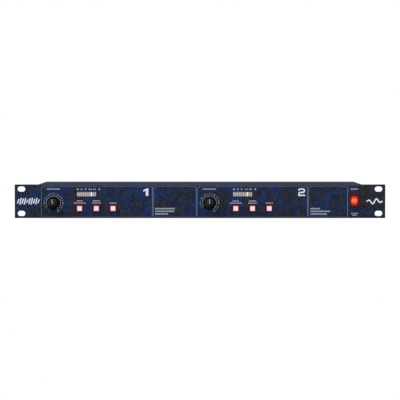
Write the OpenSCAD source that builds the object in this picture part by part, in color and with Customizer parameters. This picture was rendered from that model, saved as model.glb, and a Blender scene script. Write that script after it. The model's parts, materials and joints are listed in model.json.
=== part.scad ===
// One-unit, 19 inch, two-channel dynamics processor.
// The origin is at the centre of the front panel's rear face. The front looks towards -Y, +Z is up.

/* [Front panel] */
// Width of the front panel over both rack ears
panel_w = 482.6; // [482:0.1:483]
// Height of the front panel
panel_h = 43.66; // [43.5:0.02:43.8]
// Thickness of the front panel
panel_t = 4; // [3:0.5:5]
// Chamfer around the front edges of the front panel
panel_edge = 1.2; // [0.4:0.2:1.6]
// Distance between the rack slots across the panel
slot_pitch_x = 465.1; // [465:0.1:466]
// Distance between the rack slots up the panel
slot_pitch_z = 31.75; // [31.5:0.05:32]
// Length of one rack slot, end to end
slot_len = 10.2; // [8:0.1:11]
// Width of one rack slot
slot_w = 6.9; // [6.2:0.1:7.2]

/* [Chassis] */
// Outside width of the chassis
chassis_w = 430; // [426:1:440]
// Outside height of the chassis
chassis_h = 40.8; // [40:0.1:41.6]
// Depth of the chassis behind the front panel
chassis_d = 205; // [200:1:220]
// Thickness of the steel sheet
sheet_t = 1.2; // [1:0.1:1.5]
// Length of one ventilation slot
vent_len = 24; // [16:1:30]
// Width of one ventilation slot
vent_w = 3; // [2:0.5:4]
// Number of ventilation slots in each group on the top
vent_count = 16; // [8:1:18]

/* [Front controls] */
// Distance between the same control on the two channels
channel_pitch = 203.2; // [202:0.1:204]
// Sideways place of channel one's knob
knob_x = -190.8; // [-192:0.1:-188]
// Height of the knob centres above the panel's centre
knob_z = -2.2; // [-4:0.1:2]
// Diameter of the knob's grip at its foot
knob_d = 16.4; // [15:0.1:18]
// Height of the knob from foot to face
knob_h = 16; // [12:0.5:20]
// Number of flutes around the knob's grip
flute_count = 24; // [12:1:30]
// Turn of channel one's pointer from straight up, clockwise
ch1_pointer_deg = -15; // [-60:1:60]
// Turn of channel two's pointer from straight up, clockwise
ch2_pointer_deg = 0; // [-60:1:60]
// Sideways place of channel one's middle button
button_x = -134.9; // [-136:0.1:-133]
// Distance between neighbouring buttons
button_pitch = 21.8; // [19:0.1:24]
// Height of the button centres above the panel's centre
button_z = -9.3; // [-11:0.1:-8]
// Width and height of a button's cap
cap_size = 7.6; // [6:0.1:8]
// Outside width and height of a button's bezel
bezel_size = 11; // [10.4:0.1:11.4]
// How far a button travels when pressed
button_travel = 3; // [1.5:0.1:3]
// Sideways place of channel one's level meter
meter_x = -147.8; // [-150:0.1:-145]
// Height of the meters above the panel's centre
meter_z = 9.2; // [8:0.1:10]
// Visible width of a level meter
meter_w = 25.3; // [24:0.1:26]
// Visible height of a level meter
meter_h = 6.2; // [5:0.1:7]
// Number of segments in a level meter
segment_count = 10; // [8:1:12]
// Which segment of each meter is lit, from the left
lit_segment = 8; // [1:1:8]

/* [Power switch] */
// Sideways place of the power switch
rocker_x = 201.2; // [199:0.1:201.4]
// Width of the rocker
rocker_w = 11; // [9:0.1:11.4]
// Radius of the rocker's curved ends about its pivot
rocker_r = 8.5; // [7.5:0.1:8.5]
// Tilt of the rocker either side of level
rocker_tilt = 12; // [8:1:12]

/* [Rear connectors] */
// Sideways place of channel one's input socket
xlr_x = -186; // [-188:1:-184]
// Distance from an input socket to its output plug
xlr_pair_pitch = 34; // [32:1:36]
// Distance from channel one's sockets to channel two's
xlr_channel_pitch = 82; // [80:1:90]
// Sideways place of the mains inlet
inlet_x = 175; // [172:1:176]
// Sideways place of the voltage selector
selector_x = 126; // [120:1:128]

/* [Power supply] */
// Outside diameter of the toroidal transformer
toroid_d = 80; // [70:1:80]
// Height of the toroidal transformer
toroid_h = 28; // [22:1:28]
// Sideways place of the transformer
toroid_x = 158; // [150:1:160]
// Place of the transformer behind the front panel
toroid_y = 96; // [85:1:110]

/* [Hidden] */
$fn = 48;

// Gaps: a sliding fit, a hole around a fixed piece, and a shaft in its bore
slide_gap = 0.2;
fixed_gap = 0.1;
shaft_gap = 0.05;

// Levels and faces of the chassis
floor_z = -chassis_h / 2;
floor_top = floor_z + sheet_t;
lid_z = chassis_h / 2;
lid_under = lid_z - sheet_t;
side_out = chassis_w / 2;
side_in = side_out - sheet_t;
rear_in = chassis_d - sheet_t;
front_face = -panel_t;

// Screws
screw_r = 1.5;
screw_head_r = 2.8;
screw_head_h = 1.8;
csk_head_r = 2.75;
stud_r = 2;
nut_af = 7;
nut_h = 3.2;
lip_h = 12;
rear_lip_h = 5;
rear_lip_z = floor_top + rear_lip_h / 2;
side_lip_z = floor_top + lip_h / 2;
top_lip_depth = 10;
top_lip_y = rear_in - top_lip_depth / 2;
side_screw_y = [25, chassis_d / 2, chassis_d - 25];
top_screw_x = [-200, 0, 205];
rear_screw_x = [-206, -128, 0, 90, 206];
stud_x = [-207, -90, 110, 207];
stud_z = 15;

// Potentiometers and knobs
channel_x = [0, channel_pitch];
bushing_r = 3.5;
bushing_end = front_face - 2.4;
pot_nut_h = 2;
pot_shaft_r = 3;
pot_body_r = 8.5;
pot_body_depth = 9;
knob_foot = front_face - 0.6;
knob_face = knob_foot - knob_h;
knob_top_r = knob_d / 2 - 0.8;
knob_face_r = knob_top_r - 1.3;
shaft_end = knob_face + 4.5;
pointer_w = 0.9;
pointer_len = 6;
pointer_inset = 0.9;
pointer_sink = 0.3;
pointer_proud = 0.15;

// Buttons
front_pcb_y = 14;
button_offsets = [-button_pitch, 0, button_pitch];
cap_face = front_face - 3.4;
cap_depth = 6.4;
cap_back = cap_face + cap_depth;
stem_size = 3.6;
stem_end = cap_back + 7.2;
bezel_front = front_face - 0.4;
switch_front = cap_back + button_travel + 0.4;
switch_size = 11.6;

// Meters
meter_face = front_face + 0.4;
segment_pitch = meter_w / segment_count;
segment_w = segment_pitch * 0.74;
segment_h = meter_h - 1;
segment_sink = 0.3;
segment_proud = 0.1;

// Power switch
rocker_pivot_y = front_face - 0.2;
rocker_pin_r = 1.2;
rocker_slot_w = rocker_w + 2 * slide_gap;
rocker_slot_h = 2 * (rocker_r + slide_gap);
rocker_body_w = rocker_slot_w + 1.4;
rocker_body_h = rocker_slot_h + 1.6;
rocker_flange_w = rocker_body_w + 1.6;
rocker_flange_h = rocker_body_h + 2;
rocker_flange_t = 1.6;
rocker_body_end = 16;

// Rear connectors
flange_t = 1.6;
xlr_w = 26;
xlr_h = 31;
xlr_body_r = 11.8;
xlr_bore_r = 9.6;
xlr_plug_r = 8.1;
xlr_insert_r = 7.7;
xlr_contact_ring = 4;
xlr_front = chassis_d + flange_t;
xlr_back = 183;
xlr_inputs = [xlr_x, xlr_x + xlr_channel_pitch];
xlr_outputs = [xlr_x + xlr_pair_pitch, xlr_x + xlr_pair_pitch + xlr_channel_pitch];
xlr_screw_dx = 9.5;
xlr_screw_dz = 12;
latch_w = 9;
latch_z = 11.9;
latch_h = 3.4;
latch_front = xlr_front + 2;
inlet_w = 26.8;
inlet_h = 31;
inlet_flange_w = 50;
inlet_flange_h = 35;
inlet_front = chassis_d + 2.6;
inlet_back = 182;
inlet_screw_dx = 20;
socket_z = 5.4;
socket_w = 24;
socket_h = 16.4;
socket_floor = 190;
pin_pitch = 7;
pin_drop = 2;
terminal_z = socket_z - pin_drop;
drawer_z = -9.6;
drawer_w = 24.2;
drawer_h = 8.2;
drawer_back = 187;
fuse_r = 2.5;
fuse_len = 20;
fuse_y = 199;
selector_w = 22;
selector_h = 12;
selector_screw_dx = 14;
selector_travel = 6;
slider_size = 6;

// Boards and their parts
pcb_t = 1.6;
pcb_x = [-204, 100];
pcb_y = [24, 176];
pcb_z = floor_top + 5;
pcb_top = pcb_z + pcb_t;
standoff_points = [for (x = [-198, -52, 94], y = [30, 170]) [x, y]];
ribbon_x = -60;
ribbon_w = 25.4;
ribbon_t = 0.9;
ribbon_bend_r = 8;
header_depth = 6.4;
header_h = 8.6;
ribbon_z = 8;
ribbon_y = 38;

// Transformer stack
pad_t = 1.5;
toroid_hole_r = 12;
toroid_z = floor_top + pad_t;
pad_top_z = toroid_z + toroid_h;
clamp_z = pad_top_z + pad_t;
clamp_t = 2;
bolt_r = 3;
lead_y = [-12, -6, 6, 12];

// ---- Shared shapes ----

// Block centred on X and Z, from y0 to y1
module bar(w, h, y0, y1) {
    translate([-w / 2, y0, -h / 2]) cube([w, y1 - y0, h]);
}

// Block between two corners
module slab(low, high) {
    translate(low) cube(high - low);
}

// Cylinder along Y, from y0 to y1
module rod_y(r, y0, y1) {
    translate([0, y0, 0]) rotate([-90, 0, 0]) cylinder(r = r, h = y1 - y0);
}

// Flat shape drawn in X and Z, carried along Y
module along_y(y0, y1) {
    translate([0, y1, 0]) rotate([90, 0, 0]) linear_extrude(y1 - y0) children();
}

// Flat shape drawn in Y and Z, carried along X
module along_x(x0, x1) {
    translate([x0, 0, 0]) rotate([90, 0, 90]) linear_extrude(x1 - x0) children();
}

// Shape drawn as radius and height, turned about the Y axis; height runs towards the front
module turned_y() {
    rotate([90, 0, 0]) rotate_extrude() children();
}

// Rectangle with round corners
module round_rect(w, h, r) {
    square([w - 2 * r, h], center = true);
    square([w, h - 2 * r], center = true);
    for (x = [-1, 1], z = [-1, 1]) {
        translate([x * (w / 2 - r), z * (h / 2 - r)]) circle(r = r);
    }
}

// Slot with half-round ends, its length along X
module obround(len, w) {
    square([len - w, w], center = true);
    for (x = [-1, 1]) {
        translate([x * (len - w) / 2, 0]) circle(d = w);
    }
}

// Block whose four front edges are chamfered
module bevel_block(w, h, y0, y1, c) {
    intersection() {
        along_x(-w / 2, w / 2) bevel_outline(h, y0, y1, c);
        rotate([0, 90, 0]) along_x(-h / 2, h / 2) bevel_outline(w, y0, y1, c);
    }
}

// Rectangle from y0 to y1 with its two corners at y0 cut off
module bevel_outline(size, y0, y1, c) {
    polygon([[y0, -size / 2 + c], [y0 + c, -size / 2], [y1, -size / 2],
             [y1, size / 2], [y0 + c, size / 2], [y0, size / 2 - c]]);
}

// Countersunk screw with its head's face at z = 0, pointing down
module countersunk_screw(length) {
    translate([0, 0, -sheet_t]) cylinder(r1 = screw_r, r2 = csk_head_r, h = sheet_t);
    translate([0, 0, -length]) cylinder(r = screw_r, h = length - sheet_t);
}

// Countersunk hole for that screw
module countersunk_hole() {
    hole_r = screw_r + fixed_gap;
    translate([0, 0, -sheet_t]) cylinder(r1 = hole_r, r2 = csk_head_r + fixed_gap, h = sheet_t);
    translate([0, 0, -2 * sheet_t]) cylinder(r = hole_r, h = 2 * sheet_t);
}

// Pan-head screw seated at y = 0, its head towards +Y and its cross recess in the head
module pan_screw_y(length) {
    difference() {
        rod_y(screw_head_r, 0, screw_head_h);
        for (turn = [0, 90]) {
            rotate([0, turn, 0]) bar(3, 0.6, screw_head_h - 0.9, screw_head_h + 1);
        }
    }
    rod_y(screw_r, -length, 0);
}

// Hexagonal nut across flats af, bored to bore_r, from y0 to y1
module hex_nut_y(af, bore_r, y0, y1) {
    difference() {
        translate([0, y0, 0]) rotate([-90, 0, 0]) cylinder(d = af / cos(30), h = y1 - y0, $fn = 6);
        rod_y(bore_r, y0 - 1, y1 + 1);
    }
}

// Cylinder between any two points
module rod(a, b, r) {
    d = b - a;
    translate(a) rotate([0, acos(d[2] / norm(d)), atan2(d[1], d[0])]) cylinder(r = r, h = norm(d));
}

// Direction from one point towards another
function heading(a, b) = (b - a) / norm(b - a);

// Quarter bend of a wire at a corner, between two headings at right angles
module wire_bend(corner, arriving, leaving, bend_r, r) {
    middle = corner + bend_r * (leaving - arriving);
    axis = cross(-leaving, arriving);
    multmatrix([[-leaving[0], arriving[0], axis[0], middle[0]],
                [-leaving[1], arriving[1], axis[1], middle[1]],
                [-leaving[2], arriving[2], axis[2], middle[2]],
                [0, 0, 0, 1]]) {
        rotate_extrude(angle = 90) translate([bend_r, 0]) circle(r = r);
    }
}

// Round wire through a list of points, with a quarter bend at each corner
module wire(points, r, bend_r) {
    last = len(points) - 1;
    for (i = [0 : last - 1]) {
        along = heading(points[i], points[i + 1]);
        rod(points[i] + (i > 0 ? bend_r : 0) * along, points[i + 1] - (i < last - 1 ? bend_r : 0) * along, r);
    }
    for (i = [1 : last - 1]) {
        wire_bend(points[i], heading(points[i - 1], points[i]), heading(points[i], points[i + 1]), bend_r, r);
    }
}

// ---- Places ----

// Children at each rack slot
module at_rack_slots() {
    for (x = [-1, 1], z = [-1, 1]) {
        translate([x * slot_pitch_x / 2, 0, z * slot_pitch_z / 2]) children();
    }
}

// Children at each knob
module at_knobs() {
    for (x = channel_x) {
        translate([knob_x + x, 0, knob_z]) children();
    }
}

// Children at each meter
module at_meters() {
    for (x = channel_x) {
        translate([meter_x + x, 0, meter_z]) children();
    }
}

// Children at each button
module at_buttons() {
    for (x = channel_x, dx = button_offsets) {
        translate([button_x + x + dx, 0, button_z]) children();
    }
}

// Children at each front panel stud
module at_studs() {
    for (x = stud_x, z = [-1, 1]) {
        translate([x, 0, z * stud_z]) children();
    }
}

// Children at the two fixing holes of each XLR connector
module at_xlr_screws() {
    for (x = concat(xlr_inputs, xlr_outputs), side = [-1, 1]) {
        translate([x + side * xlr_screw_dx, 0, -side * xlr_screw_dz]) children();
    }
}

// Children at the side screws of the cover, turned so that their heads face outwards
module at_side_screws() {
    for (y = side_screw_y, side = [-1, 1]) {
        translate([side * side_out, y, side_lip_z]) rotate([0, side * 90, 0]) children();
    }
}

// Screw holes at both sides of a connector, dx from its middle, through y0 to y1
module side_screw_holes(dx, y0, y1) {
    for (side = [-1, 1]) {
        translate([side * dx, 0, 0]) rod_y(screw_r + fixed_gap, y0, y1);
    }
}

// Children at the screws along the rear edge of the cover
module at_top_screws() {
    for (x = top_screw_x) {
        translate([x, top_lip_y, lid_z]) children();
    }
}

// Openings for everything that passes through the front, grown by extra all round
module front_openings(y0, y1, extra) {
    at_knobs() rod_y(bushing_r + fixed_gap + extra, y0, y1);
    bezel_hole = bezel_size + fixed_gap + 2 * extra;
    at_buttons() bar(bezel_hole, bezel_hole, y0, y1);
    at_meters() bar(meter_w + fixed_gap + 2 * extra, meter_h + fixed_gap + 2 * extra, y0, y1);
    translate([rocker_x, 0, 0]) {
        bar(rocker_body_w + fixed_gap + 2 * extra, rocker_body_h + fixed_gap + 2 * extra, y0, y1);
    }
}

// ---- Case ----

// Aluminium front panel with its rack slots and control openings
module front_panel() {
    color("#20293c") difference() {
        bevel_block(panel_w, panel_h, front_face, 0, panel_edge);
        at_rack_slots() along_y(front_face - 1, 1) obround(slot_len, slot_w);
        front_openings(front_face - 1, 1, 0);
    }
}

// Studs bonded to the back of the front panel
module panel_studs() {
    color("silver") at_studs() {
        rod_y(stud_r, 0, 8);
    }
}

// Nuts that hold the chassis against the front panel
module panel_nuts() {
    color("gainsboro") at_studs() {
        hex_nut_y(nut_af, stud_r + shaft_gap, sheet_t, sheet_t + nut_h);
    }
}

// Folded steel tray: floor, sub-panel behind the front panel, and low lips at the sides and rear
module chassis_tray() {
    tab_w = 10;
    lip_top = floor_top + rear_lip_h;
    color("#3c3e46") difference() {
        union() {
            slab([-side_in, 0, floor_z], [side_in, rear_in, floor_top]);
            slab([-side_in, 0, floor_z], [side_in, sheet_t, lid_under]);
            for (side = [-1, 1]) {
                translate([side * (side_in - sheet_t / 2), 0, 0]) {
                    slab([-sheet_t / 2, 0, floor_z], [sheet_t / 2, rear_in, floor_top + lip_h]);
                }
            }
            slab([-side_in, rear_in - sheet_t, floor_z], [inlet_x - inlet_w / 2 - 2, rear_in, lip_top]);
            slab([side_in - tab_w, rear_in - sheet_t, floor_z], [side_in, rear_in, lip_top]);
        }
        front_openings(-1, sheet_t + 1, slide_gap);
        at_studs() rod_y(stud_r + fixed_gap, -1, sheet_t + 1);
        at_side_screws() translate([0, 0, -3 * sheet_t]) cylinder(r = screw_r + shaft_gap, h = 4 * sheet_t);
        for (x = rear_screw_x) {
            translate([x, 0, rear_lip_z]) rod_y(screw_r + shaft_gap, rear_in - 2 * sheet_t, rear_in + 1);
        }
        translate([toroid_x, toroid_y, floor_z - 1]) cylinder(r = bolt_r + shaft_gap, h = sheet_t + 2);
    }
}

// Folded steel cover: top and both sides, with ventilation slots
module top_cover() {
    vent_pitch = 7;
    top_vent_y = chassis_d - 60;
    side_vent_y = chassis_d - 62.5;
    color("#42444e") difference() {
        union() {
            slab([-side_out, 0, lid_under], [side_out, chassis_d, lid_z]);
            for (side = [-1, 1]) {
                translate([side * (side_out - sheet_t / 2), 0, 0]) {
                    slab([-sheet_t / 2, 0, floor_z], [sheet_t / 2, chassis_d, lid_z]);
                }
            }
        }
        for (group = [-1, 1], i = [0 : vent_count - 1]) {
            translate([group * 130 + (i - (vent_count - 1) / 2) * vent_pitch, top_vent_y, lid_under - 1]) {
                linear_extrude(sheet_t + 2) rotate(90) obround(vent_len, vent_w);
            }
        }
        for (i = [-3 : 3], z = [7, -1]) {
            translate([0, side_vent_y + i * 9, z]) rotate([90, 0, 90]) {
                linear_extrude(chassis_w + 2, center = true) obround(7, vent_w);
            }
        }
        at_side_screws() countersunk_hole();
        at_top_screws() countersunk_hole();
    }
}

// Countersunk screws of the cover
module cover_screws() {
    recess = 0.7;
    color("dimgray") {
        at_side_screws() recessed_screw(5, recess);
        at_top_screws() recessed_screw(5, recess);
    }
}

// Countersunk screw with a cross recess in its head
module recessed_screw(length, recess) {
    difference() {
        countersunk_screw(length);
        for (turn = [0, 90]) {
            rotate(turn) translate([-1.4, -0.3, -recess]) cube([2.8, 0.6, recess + 1]);
        }
    }
}

// Rear panel with its connector openings and a lip under the cover
module rear_panel() {
    lip_x = side_in - 3;
    color("#3a3c44") difference() {
        union() {
            slab([-side_in, rear_in, floor_z], [side_in, chassis_d, lid_under]);
            slab([-lip_x, rear_in - top_lip_depth, lid_under - sheet_t], [lip_x, rear_in, lid_under]);
        }
        for (x = concat(xlr_inputs, xlr_outputs)) {
            translate([x, 0, 0]) rod_y(xlr_body_r + slide_gap, rear_in - 1, chassis_d + 1);
        }
        for (x = xlr_inputs) {
            translate([x, 0, latch_z]) bar(latch_w + 1, latch_h + 1, rear_in - 1, chassis_d + 1);
        }
        at_xlr_screws() rod_y(screw_r + fixed_gap, rear_in - 1, chassis_d + 1);
        translate([inlet_x, 0, 0]) {
            bar(inlet_w + 2 * slide_gap, inlet_h + 2 * slide_gap, rear_in - 1, chassis_d + 1);
            side_screw_holes(inlet_screw_dx, rear_in - 1, chassis_d + 1);
        }
        translate([selector_x, 0, 0]) {
            bar(selector_w + 2 * slide_gap, selector_h + 2 * slide_gap, rear_in - 1, chassis_d + 1);
            side_screw_holes(selector_screw_dx, rear_in - 1, chassis_d + 1);
        }
        for (x = rear_screw_x) {
            translate([x, 0, rear_lip_z]) rod_y(screw_r + fixed_gap, rear_in - 1, chassis_d + 1);
        }
        at_top_screws() translate([0, 0, -3 * sheet_t]) cylinder(r = screw_r + shaft_gap, h = 3 * sheet_t);
    }
}

// Screws that hold the rear panel to the tray
module rear_panel_screws() {
    color("dimgray") for (x = rear_screw_x) {
        translate([x, chassis_d, rear_lip_z]) pan_screw_y(4);
    }
}

// Screws that hold the rear connectors
module connector_screws() {
    color("silver") {
        translate([0, xlr_front, 0]) at_xlr_screws() pan_screw_y(6);
        for (side = [-1, 1]) {
            translate([inlet_x + side * inlet_screw_dx, inlet_front, 0]) pan_screw_y(7);
            translate([selector_x + side * selector_screw_dx, chassis_d + 1, 0]) pan_screw_y(5);
        }
    }
}

// ---- Boards ----

// Main circuit board on the tray's floor
module main_pcb() {
    color("darkgreen") difference() {
        slab([pcb_x[0], pcb_y[0], pcb_z], [pcb_x[1], pcb_y[1], pcb_top]);
        for (p = standoff_points) {
            translate([p[0], p[1], pcb_z - 1]) cylinder(r = screw_r + fixed_gap, h = pcb_t + 2);
        }
    }
}

// Hexagonal standoffs under the main board
module pcb_standoffs() {
    standoff_af = 6;
    color("goldenrod") for (p = standoff_points) {
        translate([p[0], p[1], floor_top]) difference() {
            cylinder(d = standoff_af / cos(30), h = pcb_z - floor_top, $fn = 6);
            translate([0, 0, 1]) cylinder(r = screw_r + shaft_gap, h = pcb_z - floor_top);
        }
    }
}

// Screws that hold the main board to its standoffs
module pcb_screws() {
    color("silver") for (p = standoff_points) {
        translate([p[0], p[1], pcb_top]) rotate([90, 0, 0]) pan_screw_y(5);
    }
}

// Upright board behind the front panel that carries the controls
module front_pcb() {
    color("darkgreen") slab([-206, front_pcb_y, -17], [106, front_pcb_y + pcb_t, 17]);
}

// Electrolytic capacitors of the power supply
module filter_capacitors() {
    can_r = 8;
    can_h = 26;
    color("midnightblue") for (x = [52, 72], y = [136, 158]) {
        translate([x, y, pcb_top]) difference() {
            cylinder(r = can_r, h = can_h);
            translate([0, 0, can_h - 0.4]) cylinder(r = can_r - 1, h = 1);
            translate([0, 0, 2]) rotate_extrude() translate([can_r, 0]) circle(r = 0.6);
        }
    }
}

// Bridge rectifier
module bridge_rectifier() {
    color("#202020") translate([90, 148, pcb_top]) {
        slab([-2, -7.5, 2], [2, 7.5, 13]);
        for (y = [-5.7, -1.9, 1.9, 5.7]) {
            translate([0, y, 0]) cylinder(r = 0.5, h = 3);
        }
    }
}

// Finned aluminium heat sink of the voltage regulators
module heat_sink() {
    fin_h = 24;
    color("#2a2a2c") translate([56, 110, pcb_top]) {
        slab([0, 0, 0], [40, 2.5, fin_h]);
        for (i = [0 : 6]) {
            translate([2 + i * 6, 0, 0]) slab([-0.8, 2.4, 0], [0.8, 12, fin_h]);
        }
    }
}

// Voltage regulators fixed to the front of the heat sink
module voltage_regulators() {
    color("#303030") for (x = [65, 87]) {
        translate([x, 110, pcb_top]) {
            slab([-5, -1.3, 4], [5, 0, 20]);
            slab([-5, -4.5, 4], [5, -1.2, 13]);
            for (dx = [-2.5, 0, 2.5]) {
                slab([dx - 0.4, -2.4, 0], [dx + 0.4, -1.8, 4.2]);
            }
        }
    }
}

// Dual in-line audio chips on the main board
module signal_ics() {
    body = [9.6, 6.4, 3.4];
    leg_pitch = 2.54;
    color("#242424") for (x = [-170 : 36 : 10], y = [70, 118]) {
        translate([x, y, pcb_top]) {
            difference() {
                slab([-body[0] / 2, -body[1] / 2, 0.6], [body[0] / 2, body[1] / 2, 0.6 + body[2]]);
                translate([-body[0] / 2, 0, body[2]]) cylinder(r = 0.8, h = 2);
            }
            for (i = [-1.5 : 1 : 1.5], side = [-1, 1]) {
                translate([i * leg_pitch, side * (body[1] / 2 + 0.3), 0]) {
                    slab([-0.3, -0.35, 0], [0.3, 0.35, 2.4]);
                }
            }
        }
    }
}

// Box film capacitors on the main board
module film_capacitors() {
    color("firebrick") for (x = [-182 : 12 : 26], y = [92]) {
        translate([x, y, pcb_top]) {
            slab([-1.6, -3.6, 0.4], [1.6, 3.6, 7.4]);
            for (dy = [-2.5, 2.5]) {
                translate([0, dy, 0]) cylinder(r = 0.3, h = 0.6);
            }
        }
    }
}

// Relays that join input to output when a channel is bypassed
module bypass_relays() {
    color("whitesmoke") for (x = [-178, -160, -96, -78]) {
        translate([x, 160, pcb_top]) bevel_box(10, 20, 10.5, 0.8);
    }
}

// Upright box with its top edges chamfered
module bevel_box(w, d, h, c) {
    rotate([-90, 0, 0]) bevel_block(w, d, -h, 0, c);
}

// Flat cable from the front board down to the main board
module ribbon_cable() {
    start_y = front_pcb_y + pcb_t + header_depth;
    bend_y = ribbon_y - ribbon_bend_r;
    bend_z = ribbon_z - ribbon_bend_r;
    color("lightgray") along_x(ribbon_x, ribbon_x + ribbon_w) {
        translate([start_y, ribbon_z - ribbon_t / 2]) square([bend_y - start_y, ribbon_t]);
        translate([ribbon_y - ribbon_t / 2, pcb_top + header_h]) {
            square([ribbon_t, bend_z - pcb_top - header_h]);
        }
        translate([bend_y, bend_z]) intersection() {
            difference() {
                circle(r = ribbon_bend_r + ribbon_t / 2);
                circle(r = ribbon_bend_r - ribbon_t / 2);
            }
            square(2 * ribbon_bend_r);
        }
    }
}

// Headers that the flat cable plugs into
module ribbon_headers() {
    back = front_pcb_y + pcb_t;
    header_w = ribbon_w + 4;
    color("#1c1c1c") translate([ribbon_x + ribbon_w / 2, 0, 0]) {
        translate([0, 0, ribbon_z]) bar(header_w, 7, back, back + header_depth);
        translate([-header_w / 2, ribbon_y - 3.5, pcb_top]) cube([header_w, 7, header_h]);
    }
}

// Mains wires along the right side, and the transformer's leads to the main board
module internal_wires() {
    wire_r = 1.1;
    lead_r = 0.8;
    bend_r = 2;
    start_y = rocker_body_end + 6.1;
    cross_y = 34;
    run_x = side_in - 8;
    turn_y = 166;
    tab_y = inlet_back - 4.1;
    lead_end_x = pcb_x[1] - 4;
    color("saddlebrown") for (side = [-1, 1]) {
        z = side * terminal_z;
        tab_x = inlet_x + side * pin_pitch;
        run = [[rocker_x, start_y, z], [rocker_x, cross_y, z], [run_x, cross_y, z],
               [run_x, turn_y, z], [tab_x, turn_y, z]];
        climb = side < 0 ? [[tab_x, turn_y, terminal_z]] : [];
        wire(concat(run, climb, [[tab_x, tab_y, terminal_z]]), wire_r, bend_r);
    }
    color("gold") for (dy = lead_y) {
        y = toroid_y + dy;
        start_x = toroid_x - ceil(10 * sqrt(pow(toroid_d / 2, 2) - dy * dy)) / 10 - lead_r;
        wire([[start_x, y, 0], [lead_end_x, y, 0], [lead_end_x, y, pcb_top]], lead_r, bend_r);
    }
}

// ---- Transformer ----

// Ring with round edges, standing on z = 0
module rounded_ring(r_in, r_out, h, edge) {
    rotate_extrude($fn = 96) translate([(r_in + r_out) / 2, h / 2]) {
        round_rect(r_out - r_in, h, edge);
    }
}

// Toroidal mains transformer
module toroidal_transformer() {
    color("darkgoldenrod") translate([toroid_x, toroid_y, toroid_z]) {
        rounded_ring(toroid_hole_r, toroid_d / 2, toroid_h, 5);
    }
}

// Rubber pads above and below the transformer
module transformer_pads() {
    color("#181818") for (z = [floor_top, pad_top_z]) {
        translate([toroid_x, toroid_y, z]) difference() {
            cylinder(r = toroid_d / 2 - 4, h = pad_t, $fn = 96);
            translate([0, 0, -1]) cylinder(r = toroid_hole_r, h = pad_t + 2);
        }
    }
}

// Dished steel washer that presses the transformer down
module transformer_clamp() {
    dish_r = toroid_d / 2 - 10;
    color("lightslategray") translate([toroid_x, toroid_y, clamp_z]) difference() {
        cylinder(r = dish_r, h = clamp_t, $fn = 96);
        translate([0, 0, clamp_t / 2]) cylinder(r1 = toroid_hole_r, r2 = dish_r - 3, h = clamp_t / 2 + 0.01);
        translate([0, 0, -1]) cylinder(r = bolt_r + fixed_gap, h = clamp_t + 2);
    }
}

// Bolt through the transformer, with its head on the clamp
module transformer_bolt() {
    head_af = 10;
    head_z = clamp_z + clamp_t / 2;
    color("silver") translate([toroid_x, toroid_y, 0]) {
        translate([0, 0, floor_z]) cylinder(r = bolt_r, h = head_z - floor_z + 1);
        translate([0, 0, head_z]) cylinder(d = head_af / cos(30), h = 4, $fn = 6);
    }
}

// ---- Front controls ----

// Rotary potentiometers with threaded bushings and three terminals each
module potentiometer_bodies() {
    color("slategray") at_knobs() {
        difference() {
            union() {
                rod_y(pot_body_r, sheet_t, sheet_t + pot_body_depth);
                rod_y(bushing_r, bushing_end, sheet_t + 1);
            }
            rod_y(pot_shaft_r + shaft_gap, bushing_end - 1, sheet_t + pot_body_depth - 2);
        }
        for (dx = [-5, 0, 5]) {
            translate([dx, 0, 0]) bar(1, 1, sheet_t + pot_body_depth - 1, front_pcb_y);
        }
    }
}

// Nuts on the potentiometers' bushings
module potentiometer_nuts() {
    color("silver") at_knobs() {
        hex_nut_y(10, bushing_r + shaft_gap, front_face - pot_nut_h, front_face);
    }
}

// Fluted knob for the given channel, with its foot just clear of the panel
module knob(channel) {
    nut_room_r = 7;
    nut_room_depth = 3;
    skirt_h = 1.6;
    shoulder_h = 2.2;
    translate([knob_x + channel_x[channel], 0, knob_z]) difference() {
        translate([0, knob_foot, 0]) turned_y() {
            polygon([[0, 0], [knob_d / 2 + 0.6, 0], [knob_d / 2 + 0.6, skirt_h * 0.6],
                     [knob_d / 2, skirt_h], [knob_top_r, knob_h - shoulder_h],
                     [knob_face_r, knob_h], [0, knob_h]]);
        }
        rod_y(nut_room_r, knob_foot - nut_room_depth, knob_foot + 1);
        rod_y(pot_shaft_r + shaft_gap, shaft_end - 0.2, knob_foot);
        for (i = [0 : flute_count - 1]) {
            rotate([0, i * 360 / flute_count, 0]) translate([0, 0, knob_d / 2 + 0.15]) {
                rod_y(0.75, knob_face - 1, knob_foot - skirt_h - 0.6);
            }
        }
        knob_pointer_shape(channel, fixed_gap / 10);
    }
}

// Line on a knob's face, from near its centre to near its edge
module knob_pointer_shape(channel, gap) {
    turn = channel == 0 ? ch1_pointer_deg : ch2_pointer_deg;
    rotate([0, turn, 0]) translate([0, 0, knob_face_r - pointer_inset - pointer_len / 2]) {
        bar(pointer_w + 2 * gap, pointer_len + 2 * gap, knob_face - 1, knob_face + pointer_sink + gap);
    }
}

// White line let into the face of a knob
module knob_pointer(channel) {
    translate([knob_x + channel_x[channel], 0, knob_z]) intersection() {
        knob_pointer_shape(channel, 0);
        bar(knob_d, knob_d, knob_face - pointer_proud, knob_face + pointer_sink + 1);
    }
}

// Shaft of a potentiometer, which carries the knob
module pot_shaft(channel) {
    translate([knob_x + channel_x[channel], 0, knob_z]) {
        rod_y(pot_shaft_r, shaft_end, sheet_t + pot_body_depth - 2.2);
    }
}

module ch1_knob() {
    color("#26272a") knob(0);
}

module ch2_knob() {
    color("#26272a") knob(1);
}

module ch1_knob_pointer() {
    color("white") knob_pointer(0);
}

module ch2_knob_pointer() {
    color("white") knob_pointer(1);
}

module ch1_pot_shaft() {
    color("silver") pot_shaft(0);
}

module ch2_pot_shaft() {
    color("silver") pot_shaft(1);
}

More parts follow.
